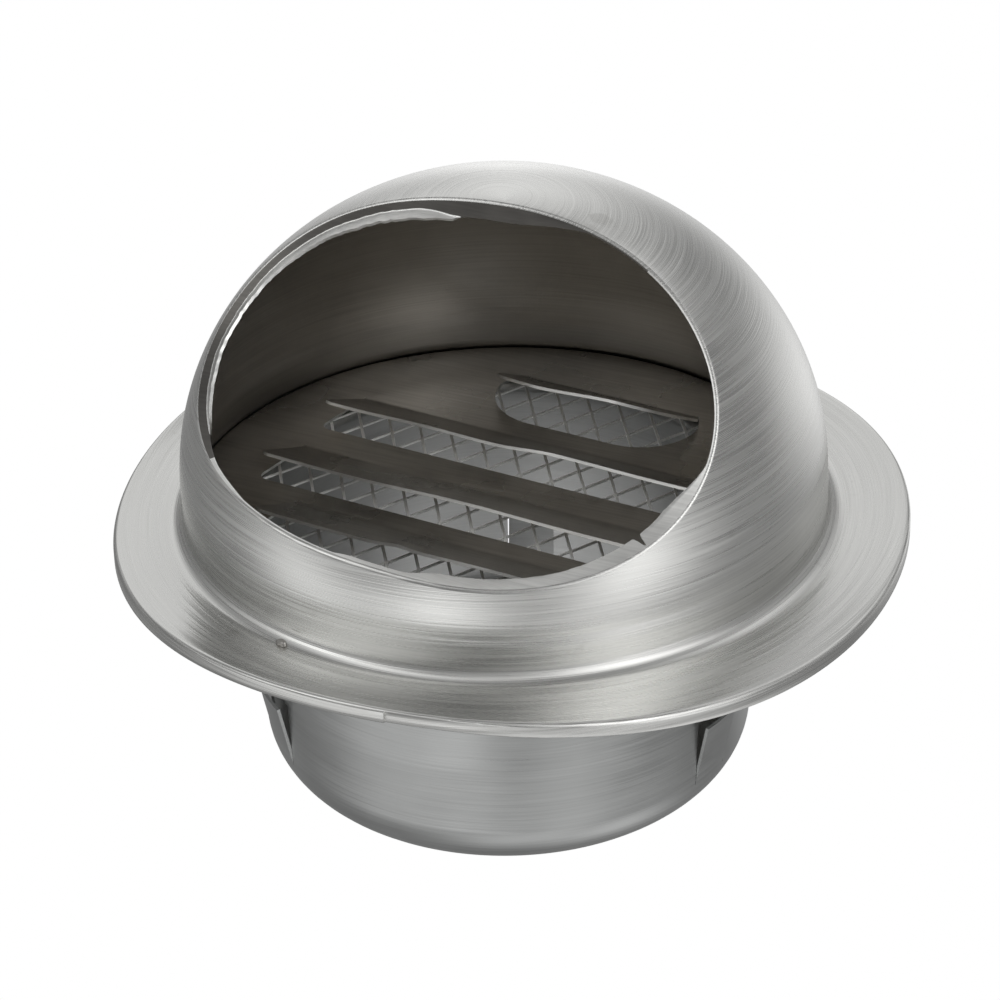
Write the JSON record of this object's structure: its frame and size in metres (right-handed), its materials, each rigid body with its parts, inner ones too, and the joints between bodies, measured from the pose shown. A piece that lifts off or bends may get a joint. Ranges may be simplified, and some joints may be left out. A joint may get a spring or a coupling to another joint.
{
  "type": "round wall vent cap",
  "caption": "Domed stainless wall vent cap with a curved mouth, louvred plate, expanded mesh screen and a duct collar held by spring tongues.",
  "frame": {"origin": "on the duct axis, in the plane of the wall that the flange's hem rests on", "axes": "+Z out of the wall along the duct axis, -Y toward the mouth, which points down when the cap is on a wall; -Z into the duct"},
  "size_m": [0.156, 0.156, 0.1227],
  "materials": {
    "spun_steel": "spun and lightly brushed",
    "plate_steel": "smooth mill finish",
    "mesh_steel": "bright expanded metal",
    "collar_steel": "dull satin, drawn",
    "weld": "dull weld nugget"
  },
  "bodies": {
    "cap": {"hood": "spun_steel", "wall_flange": "spun_steel", "louvre_plate": "plate_steel", "mesh_screen": "mesh_steel", "collar_flange": "collar_steel", "duct_collar": "collar_steel", "collar_nose": "collar_steel", "spot_welds": "weld"},
    "right_tongue": {"tongue_right": "collar_steel"},
    "rear_tongue": {"tongue_rear": "collar_steel"},
    "left_tongue": {"tongue_left": "collar_steel"}
  },
  "joints": [
    {"name": "tongue_right_flex", "type": "hinge", "parent": "cap", "child": "right_tongue", "pos_m": [0.04754, -0.0101, -0.0425], "axis": [-0.2079, -0.9781, 0], "range_deg": [0, 12], "stiffness_Nm_per_rad": 1},
    {"name": "tongue_rear_flex", "type": "hinge", "parent": "cap", "child": "rear_tongue", "pos_m": [-0.01502, 0.04622, -0.0425], "axis": [0.9511, 0.309, 0], "range_deg": [0, 12], "stiffness_Nm_per_rad": 1},
    {"name": "tongue_left_flex", "type": "hinge", "parent": "cap", "child": "left_tongue", "pos_m": [-0.03252, -0.03612, -0.0425], "axis": [-0.7431, 0.6691, 0], "range_deg": [0, 12], "stiffness_Nm_per_rad": 1}
  ]
}
